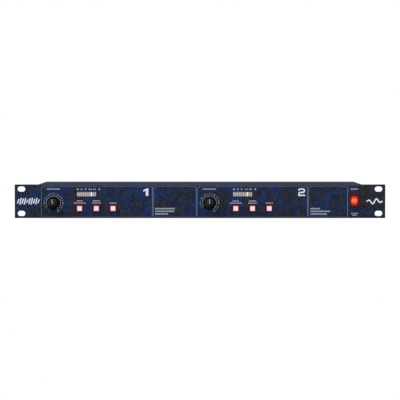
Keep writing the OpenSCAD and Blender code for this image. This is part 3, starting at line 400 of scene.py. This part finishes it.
def simple_materials():
    """Materials that differ only in colour, sheen and grain."""
    black = (0.013, 0.013, 0.014)
    made = {
        "dark_screw": brushed("dark_screw", (0.10, 0.10, 0.105), 0.38),
        "zinc_steel": brushed("zinc_steel", (0.52, 0.53, 0.56), 0.30),
        "pot_metal": brushed("pot_metal", (0.48, 0.49, 0.52), 0.34, along=(0, 1, 0)),
        "contact_nickel": brushed("contact_nickel", (0.66, 0.66, 0.64), 0.18, along=(0, 1, 0)),
        "contact_gold": brushed("contact_gold", (0.80, 0.58, 0.24), 0.20, along=(0, 1, 0)),
        "brass": brushed("brass", (0.66, 0.47, 0.20), 0.30, along=(0, 0, 1)),
        "black_aluminium": mottled("black_aluminium", (0.02, 0.02, 0.022), 0.35, metallic=0.6),
        "pad_rubber": mottled("pad_rubber", (0.016, 0.016, 0.017), 0.85, specular=0.2),
        "capacitor_sleeve": mottled("capacitor_sleeve", (0.016, 0.022, 0.07), 0.25, cell=9 * MM),
        "chip_black": mottled("chip_black", (0.020, 0.020, 0.021), 0.55, specular=0.3),
        "film_red": mottled("film_red", (0.42, 0.035, 0.025), 0.22, cell=2 * MM),
        "relay_white": mottled("relay_white", (0.70, 0.70, 0.66), 0.30),
        "ribbon_grey": mottled("ribbon_grey", (0.38, 0.39, 0.41), 0.45),
        "wire_brown": mottled("wire_brown", (0.26, 0.10, 0.04), 0.40, cell=6 * MM),
        "pointer_white": mottled("pointer_white", (0.36, 0.37, 0.37), 0.45, specular=0.2, cell=1 * MM,
                                 amount=0.05),
        "meter_grey": mottled("meter_grey", (0.150, 0.145, 0.140), 0.45, specular=0.2, cell=2 * MM),
        "connector_black": mottled("connector_black", black, 0.40, specular=0.35, cell=5 * MM),
        "slider_red": mottled("slider_red", (0.50, 0.025, 0.025), 0.35, cell=2 * MM),
        "shell_black": mottled("shell_black", (0.020, 0.020, 0.023), 0.36, metallic=0.5, cell=3 * MM),
    }
    return {name: paint.material for name, paint in made.items()}


def build_materials():
    """Every record slot's material."""
    case_color = (0.041, 0.044, 0.060)
    made = simple_materials()
    made.update({
        "panel_paint": panel_paint(),
        "case_paint": powder_coat("case_paint", case_color),
        "bezel_black": bezel_paint(),
        "rocker_red": rocker_lens(),
        # the unlit segments glow too: painted light that makes their pale diffusers look lit by the room
        "segment_white": segment_lens("segment_white", (0.26, 0.25, 0.24), (0.36, 0.34, 0.33), 0.50),
        "segment_lit": segment_lens("segment_lit", (0.40, 0.37, 0.28), (0.95, 0.90, 0.66), 0.62),
        "board_green": circuit_board(),
        "transformer_wrap": transformer_tape(),
        "fuse_glass": fuse_body(),
    })
    return made


def dress(node, material):
    """Puts one material on a CAD node."""
    slots = cad[node].data.materials
    slots.clear()
    slots.append(material)


def dress_all(made):
    """Gives every CAD node the material of its record slot, and each lit button its own."""
    for row in frame["record"]["subparts"]:
        node, slot = row["node"], row["material_slot"]
        if slot == "button_pink":
            dress(node, lit_cap(node + "_lens", centre(node)))
        elif slot == "knob_black":
            dress(node, knob_paint(node + "_black", centre(node)))
        else:
            dress(node, made[slot])


def soften(node, width):
    """Rounds a CAD node's sharp edges with modifiers, which leave its own mesh alone."""
    piece = cad[node]
    weld = piece.modifiers.new("weld", "WELD")
    weld.merge_threshold = 0.002 * MM
    bevel = piece.modifiers.new("bevel", "BEVEL")
    bevel.width = width
    bevel.segments = 2
    bevel.limit_method = "ANGLE"
    bevel.angle_limit = math.radians(40)
    bevel.use_clamp_overlap = True


def soften_all():
    """Rounds the edges of the moulded pieces."""
    widths = {
        "ch1_knob": 0.2, "ch2_knob": 0.2, "button_bezels": 0.25, "power_switch_housing": 0.35,
        "meter_bodies": 0.15, "mains_inlet": 0.4, "fuse_drawer": 0.3, "voltage_selector": 0.3,
        "voltage_selector_slider": 0.2, "xlr_latch_1": 0.15, "xlr_latch_2": 0.15,
    }
    for channel in (1, 2):
        for place in ("left", "middle", "right"):
            widths[f"ch{channel}_button_{place}"] = 0.35
    for node, width in widths.items():
        soften(node, width * MM)


# ---- Printed shapes --------------------------------------------------------------------------

INK = 0.05 * MM             # thickness
DIGIT_WEIGHT = 0.025        # thickens the font's strokes; a little more or less breaks the 6 or the 9


class Print:
    """Thin raised ink on the front or the rear face. Points are (u, v) in millimetres, u to the
    viewer's right and v up, measured from the middle of the front panel."""

    def __init__(self, name, face_y, outward):
        self.name, self.face_y, self.outward = name, face_y, outward
        self.mesh = bmesh.new()

    def spot(self, u, v, out):
        """The point (u, v), lifted out metres off the face."""
        side = -self.outward
        return Vector((side * u * MM, self.face_y + self.outward * out, v * MM))

    def prism(self, outline):
        """Closed flat solid with the given outline."""
        front = [self.mesh.verts.new(self.spot(u, v, INK)) for u, v in outline]
        back = [self.mesh.verts.new(self.spot(u, v, 0)) for u, v in outline]
        self.mesh.faces.new(front)
        self.mesh.faces.new(list(reversed(back)))
        for i in range(len(outline)):
            j = (i + 1) % len(outline)
            self.mesh.faces.new([front[j], front[i], back[i], back[j]])

    def bar(self, u, v, width, height, slant=0.0):
        """Upright bar centred at (u, v), its top pushed right by slant."""
        w, h = width / 2, height / 2
        self.prism([(u - w - slant / 2, v - h), (u + w - slant / 2, v - h),
                    (u + w + slant / 2, v + h), (u - w + slant / 2, v + h)])

    def plus(self, u, v, reach, half):
        """Plus sign with arms of the given reach from (u, v), each twice half wide."""
        quarter = ((half, reach), (half, half), (reach, half))
        outline = []
        for _ in range(4):
            outline += [(u + a, v + b) for a, b in quarter]
            quarter = tuple((b, -a) for a, b in quarter)
        self.prism(list(reversed(outline)))

    def disc(self, u, v, radius, count=12):
        """Round dot of count sides."""
        turns = [2 * math.pi * i / count for i in range(count)]
        self.prism([(u + radius * math.cos(t), v + radius * math.sin(t)) for t in turns])

    def line(self, points, width, closed=False):
        """Line of even width through points."""
        count = len(points)
        rings = []
        for i, (u, v) in enumerate(points):
            before = points[i - 1] if closed or i > 0 else points[i]
            after = points[(i + 1) % count] if closed or i < count - 1 else points[i]
            step_in = Vector((u - before[0], v - before[1]))
            step_out = Vector((after[0] - u, after[1] - v))
            step_in = step_in if step_in.length > 1e-9 else step_out
            step_out = step_out if step_out.length > 1e-9 else step_in
            a, b = step_in.normalized(), step_out.normalized()
            across = Vector((-(a.y + b.y), a.x + b.x)).normalized()
            across *= width / 2 / max(0.4, across.dot(Vector((-a.y, a.x))))
            left, right = (u + across.x, v + across.y), (u - across.x, v - across.y)
            rings.append([self.mesh.verts.new(self.spot(*p, out)) for out in (0, INK) for p in (left, right)])
        for i in range(count if closed else count - 1):
            a, b = rings[i], rings[(i + 1) % count]
            for j, k in ((0, 1), (1, 3), (3, 2), (2, 0)):
                self.mesh.faces.new([a[j], a[k], b[k], b[j]])
        if not closed:
            for ring in (rings[0], rings[-1]):
                self.mesh.faces.new([ring[0], ring[1], ring[3], ring[2]])

    def arc(self, u, v, radius, start, end, width):
        """Arc from start to end, in degrees clockwise from straight up."""
        count = max(3, int(abs(end - start) / 6))
        turns = [math.radians(start + (end - start) * i / count) for i in range(count + 1)]
        self.line([(u + radius * math.sin(t), v + radius * math.cos(t)) for t in turns], width)

    def number(self, body, u, v, height, stretch=1.0):
        """Digits centred at (u, v), from the font's outlines."""
        curve = bpy.data.curves.new("digits", "FONT")
        curve.body = body
        curve.offset = DIGIT_WEIGHT
        curve.extrude = 0.5
        holder = bpy.data.objects.new("digits", curve)
        bpy.context.scene.collection.objects.link(holder)
        bpy.context.view_layer.update()
        shape = bpy.data.meshes.new_from_object(holder.evaluated_get(bpy.context.evaluated_depsgraph_get()))
        low = [min(p.co[k] for p in shape.vertices) for k in (0, 1)]
        high = [max(p.co[k] for p in shape.vertices) for k in (0, 1)]
        grow = height / (high[1] - low[1])
        made = []
        for p in shape.vertices:
            du = (p.co.x - (low[0] + high[0]) / 2) * grow * stretch
            dv = (p.co.y - (low[1] + high[1]) / 2) * grow
            made.append(self.mesh.verts.new(self.spot(u + du, v + dv, INK if p.co.z > 0 else 0)))
        for face in shape.polygons:
            self.mesh.faces.new([made[i] for i in face.vertices])
        bpy.data.objects.remove(holder)
        bpy.data.curves.remove(curve)
        bpy.data.meshes.remove(shape)

    def word(self, u, v, width, height=1.5):
        """Row of small bars in a word's place, centred at (u, v)."""
        lengths = (1.25, 0.85, 1.45, 1.05, 0.65, 1.25, 0.95)
        gap = 0.42
        row, total = [], 0.0
        while total < width:
            row.append(lengths[len(row) % len(lengths)])
            total += row[-1] + gap
        scale = width / (total - gap)
        at = u - width / 2
        for length in row:
            self.bar(at + length * scale / 2, v, length * scale, height)
            at += (length + gap) * scale

    def finish(self, material):
        """Makes the piece and lets it ride on the case."""
        bmesh.ops.remove_doubles(self.mesh, verts=self.mesh.verts, dist=0.0005 * MM)
        bmesh.ops.recalc_face_normals(self.mesh, faces=self.mesh.faces)
        data = bpy.data.meshes.new(self.name)
        self.mesh.to_mesh(data)
        self.mesh.free()
        data.materials.append(material)
        piece = bpy.data.objects.new(self.name, data)
        bpy.context.scene.collection.objects.link(piece)
        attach(piece, "case")


def uv(node):
    """Middle of a CAD node as millimetres to the right and up."""
    middle = centre(node)
    return middle.x / MM, middle.z / MM


KNOBS = [uv("ch1_pot_shaft"), uv("ch2_pot_shaft")]
CHANNEL_PITCH = KNOBS[1][0] - KNOBS[0][0]
BUTTONS = [[uv(f"ch{c}_button_{p}") for p in ("left", "middle", "right")] for c in (1, 2)]
METER_LOW, METER_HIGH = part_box("meter_bodies")
METER_Z = centre("meter_segments").z / MM
METER_WIDTH = (METER_HIGH.x - METER_LOW.x) / MM - CHANNEL_PITCH
METER_X = [METER_LOW.x / MM + METER_WIDTH / 2 + shift for shift in (0, CHANNEL_PITCH)]
ROCKER = uv("power_switch_housing")
XLR_WIDTH = 26 * MM
FRAME_TOP, FRAME_BOTTOM = 19.3, -19.8       # millimetres from the middle of the panel
FRAME_GAP = 1.5


def print_frames(ink):
    """A frame round each channel and each blank field, heaviest along its right side."""
    edges = [KNOBS[0][0] - 15.8, KNOBS[0][0] + 128.8, KNOBS[1][0] - 17.4, KNOBS[1][0] + 127.5,
             ROCKER[0] - 9.0]
    radius = 4.5
    turns = [math.radians(180 - 90 * i / 8) for i in range(9)]
    sheet = Print("print_frames", FACE_Y, -1)
    for i in range(4):
        left, right = edges[i] + (FRAME_GAP if i else 0), edges[i + 1]
        corner = [(left + radius + radius * math.cos(t), FRAME_TOP - radius + radius * math.sin(t))
                  for t in turns]
        sheet.line([(left, FRAME_BOTTOM)] + corner, 0.55)
        sheet.line([corner[-1], (right - 0.4, FRAME_TOP)], 0.32)
        sheet.line([(right, FRAME_TOP + 0.16), (right, FRAME_BOTTOM - 0.09)], 0.8)
        sheet.line([(left, FRAME_BOTTOM), (right - 0.4, FRAME_BOTTOM)], 0.18)
    sheet.finish(ink)


def print_dials(ink):
    """Scale round each knob: a dot at the low stop, then an arc with a tick every 15 degrees, and by the
    ticks the numbers 1 to 10 and dots in turn."""
    arc_r, mark_r = 9.1, 12.2
    low_stop, high_stop, pitch = -150, 150, 15
    sheet = Print("print_dials", FACE_Y, -1)
    for u, v in KNOBS:
        sheet.arc(u, v, arc_r, -122, high_stop, 0.42)
        for step in range((high_stop - low_stop) // pitch + 1):
            turn = math.radians(low_stop + pitch * step)
            out = Vector((math.sin(turn), math.cos(turn)))
            if step == 0:
                sheet.disc(u + out.x * mark_r, v + out.y * mark_r, 0.36)
            if step < 2:
                continue
            end = arc_r + (0.8 if step % 2 else 1.1)
            sheet.line([(u + out.x * arc_r, v + out.y * arc_r), (u + out.x * end, v + out.y * end)], 0.3)
            if step % 2:
                sheet.disc(u + out.x * mark_r, v + out.y * mark_r, 0.48)
            else:
                sheet.number(str(step // 2), u + out.x * mark_r, v + out.y * mark_r, 1.95)
    sheet.finish(ink)


def print_meter_scales(ink):
    """Numbers of the level scale above each meter."""
    sheet = Print("print_meter_scales", FACE_Y, -1)
    pitch, scale_v = METER_WIDTH / 10, METER_Z + 6.5
    marks = {1: "20", 3: "16", 5: "12", 7: "8", 8: "6", 9: "4", 10: "2"}
    for middle in METER_X:
        for place, mark in marks.items():
            sheet.number(mark, middle + (place - 5.5) * pitch, scale_v, 2.0, 0.9)
        sheet.plus(middle + 6.6 * pitch, scale_v, 1.05, 0.3)
    sheet.finish(ink)


def print_labels(ink):
    """Bars in the places of the words by each control, and in the two blank fields."""
    sheet = Print("print_labels", FACE_Y, -1)
    for u, v in KNOBS:
        sheet.word(u, v + 18.1, 17.0, 1.5)
    for row in BUTTONS:
        for (u, v), (upper, lower) in zip(row, ((8.0, 15.5), (9.0, 11.0), (0.0, 9.0))):
            sheet.word(u, v + 6.9, lower, 1.35)
            if upper:
                sheet.word(u, v + 9.7, upper, 1.35)
    block_left = (KNOBS[0][0] + 132.4, KNOBS[1][0] + 131.5)
    for left, widths in zip(block_left, ((25.5, 25.0, 16.5), (12.0, 25.0, 21.0))):
        for i, width in enumerate(widths):
            sheet.word(left + width / 2, -9.6 - 3.5 * i, width, 1.9)
    sheet.word(ROCKER[0], 15.9, 9.0, 1.6)
    sheet.word(ROCKER[0], -15.9, 9.0, 1.3)
    sheet.word(ROCKER[0], -18.3, 6.0, 1.1)
    sheet.finish(ink)


def print_channel_numbers(ink):
    """Large wide digits 1 and 2."""
    sheet = Print("print_channel_numbers", FACE_Y, -1)
    one_u, one_v = KNOBS[0][0] + 120.4, 11.9
    one = ((3.6, 5.4), (0.7, 5.4), (-3.9, 2.9), (-3.9, 0.4), (-0.1, 2.2), (-0.1, -5.3), (3.6, -5.3))
    sheet.prism([(one_u + u * 0.86, one_v + v * 0.9) for u, v in reversed(one)])
    two_u, two_v = KNOBS[1][0] + 119.9, 11.8
    two = ((-3.9, 2.2), (-3.9, 3.2), (-2.9, 4.3), (2.6, 4.3), (3.8, 3.2), (3.8, 1.0), (2.6, -0.1),
           (-2.5, -0.3), (-3.8, -1.3), (-3.8, -4.3), (5.0, -4.3))
    sheet.line([(two_u + u * 0.93, two_v + v * 0.95) for u, v in two], 1.75)
    sheet.finish(ink)


def print_emblems(ink):
    """Plain patterns on the ears: slanted level bars on the left, a wave on the right."""
    sheet = Print("print_emblems", FACE_Y, -1)
    heights = (5.6, 8.4, 7.0, 8.4, 4.4, 7.6, 8.4, 6.2, 8.4, 5.0)
    pitch, left = 2.95, PANEL_LOW.x / MM + 4.6
    for i, height in enumerate(heights):
        sheet.bar(left + pitch * i, 0.1, 1.55, height, 1.9)
    steps = 32
    wave = [(EMBLEM_X / MM + 21.0 * (i / steps - 0.5), 3.4 * math.sin(4 * math.pi * i / steps) *
             math.sin(math.pi * i / steps)) for i in range(steps + 1)]
    sheet.line(wave, 1.7)
    sheet.finish(ink)


def print_rear(ink):
    """On the rear panel, a frame round each channel's pair of connectors, and its number."""
    sheet = Print("print_rear", REAR_Y, 1)
    inputs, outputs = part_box("xlr_input_shells"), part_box("xlr_output_shells")
    spans = ((inputs[0].x, outputs[0].x + XLR_WIDTH), (inputs[1].x - XLR_WIDTH, outputs[1].x))
    for number, (low, high) in enumerate(spans, 1):
        left, right = -high / MM - 2.0, -low / MM + 2.0
        sheet.line([(left, -17.6), (left, 17.6), (right, 17.6), (right, -17.6)], 0.4, closed=True)
        sheet.number(str(number), left - 5.0, 0.0, 6.0, 1.2)
    sheet.finish(ink)


def build_prints():
    """All the printed shapes."""
    white = printed_ink("ink_white", (0.66, 0.69, 0.76))
    pale_blue = printed_ink("ink_pale_blue", (0.115, 0.155, 0.280))
    grey = printed_ink("ink_grey", (0.40, 0.43, 0.50))
    small = printed_ink("ink_small", (0.36, 0.38, 0.45))
    scale_white = printed_ink("ink_scale", (0.56, 0.59, 0.68))
    print_frames(pale_blue)
    print_dials(grey)
    print_meter_scales(scale_white)
    print_labels(small)
    print_channel_numbers(white)
    print_emblems(white)
    print_rear(small)


# ---- Studio ----------------------------------------------------------------------------------

def build_world():
    """White to the camera; everything else sees a soft room, bright overhead and dim in front."""
    world = bpy.data.worlds.new("studio")
    bpy.context.scene.world = world
    world.use_nodes = True
    tree = world.node_tree
    new, link = tree.nodes.new, tree.links.new
    background = tree.nodes["Background"]
    path = new("ShaderNodeLightPath")
    place = new("ShaderNodeTexCoord")
    split = new("ShaderNodeSeparateXYZ")
    link(place.outputs["Generated"], split.inputs[0])
    ramp = new("ShaderNodeValToRGB")
    dim, bright = ramp.color_ramp.elements
    dim.position, dim.color = 0.30, (0.22, 0.22, 0.23, 1)
    bright.position, bright.color = 1.0, (0.85, 0.87, 0.90, 1)
    upward = new("ShaderNodeMath")      # 0 straight down, 1 straight up
    upward.operation = "MULTIPLY_ADD"
    upward.inputs[1].default_value = 0.5
    upward.inputs[2].default_value = 0.5
    link(split.outputs[2], upward.inputs[0])
    link(upward.outputs[0], ramp.inputs[0])
    mix = new("ShaderNodeMix")
    mix.data_type = "RGBA"
    link(path.outputs["Is Camera Ray"], mix.inputs[0])
    link(ramp.outputs[0], mix.inputs[6])
    mix.inputs[7].default_value = (1, 1, 1, 1)
    link(mix.outputs[2], background.inputs[0])
    background.inputs[1].default_value = 1.0


def build_floor():
    """Wide pale floor under the unit. It lights itself for the camera, which sees it as nearly plain white
    with soft shadows near the unit; all other rays see plain pale paper."""
    half, fade_reach = 12.0, 2.0
    true_albedo, near_albedo, near_glow = 0.80, 0.24, 0.75
    data = bpy.data.meshes.new("floor")
    z = cad_box[0].z - 0.2 * MM
    corners = [(-half, -half, z), (half, -half, z), (half, half, z), (-half, half, z)]
    data.from_pydata(corners, [], [(0, 1, 2, 3)])
    floor = bpy.data.objects.new("floor", data)
    bpy.context.scene.collection.objects.link(floor)
    paper = Paint("floor_paper", (true_albedo,) * 3, 0.9, specular=0.0)
    seen = paper.add("LightPath", {}, output="Is Camera Ray")
    reach = paper.length(paper.place((1, 1, 0)))
    far_off = paper.ramp(paper.calc("DIVIDE", reach, fade_reach), (0.2, 0.0), (0.65, 1.0))
    seen_albedo = paper.mix(far_off, (near_albedo,) * 3, (0.0,) * 3)
    paper.set("Base Color", paper.mix(seen, (true_albedo,) * 3, seen_albedo))
    seen_glow = paper.mix(far_off, (near_glow,) * 3, (1.0,) * 3)
    paper.glow(seen_glow, seen)
    data.materials.append(paper.material)


def add_light(name, place, target, size, power):
    """Square area light at place, aimed at target."""
    data = bpy.data.lights.new(name, "AREA")
    data.size = size
    data.energy = power
    lamp = bpy.data.objects.new(name, data)
    bpy.context.scene.collection.objects.link(lamp)
    lamp.location = place
    lamp.rotation_euler = (Vector(target) - Vector(place)).to_track_quat("-Z", "Y").to_euler()


def build_lights():
    """Large soft key from the upper left, and weaker fills."""
    middle = (0, 0.05, 0)
    add_light("key", (-1.3, -1.5, 1.7), middle, 1.2, 26)
    add_light("fill", (1.6, -1.4, 0.9), middle, 1.4, 8)
    add_light("top", (0, 0.6, 2.2), middle, 1.8, 14)
    add_light("back", (0.4, 2.0, 1.2), middle, 1.4, 12)


def build_camera():
    """Camera straight in front and a little above, at the photo's angle. Its distance was fitted together
    with the case's depth, which is assumed."""
    distance, rise = 2.75, 0.094
    aim_rise = 1.66 * MM        # puts the panel at the photo's height in the frame
    data = bpy.data.cameras.new("camera")
    data.sensor_width = 36
    data.lens = 190.2           # makes the panel as wide in the frame as in the photo
    data.clip_start, data.clip_end = 0.1, 60
    camera = bpy.data.objects.new("camera", data)
    bpy.context.scene.collection.objects.link(camera)
    camera.location = (0, FACE_Y - distance, rise)
    aim = Vector((0, FACE_Y, aim_rise))
    camera.rotation_euler = (aim - camera.location).to_track_quat("-Z", "Y").to_euler()
    bpy.context.scene.camera = camera


def build_studio():
    """World, floor, lights, camera and plain colour handling."""
    build_world()
    build_floor()
    build_lights()
    build_camera()
    view = bpy.context.scene.view_settings
    view.view_transform = "Standard"
    view.look = "None"


dress_all(build_materials())
soften_all()
build_prints()
build_studio()
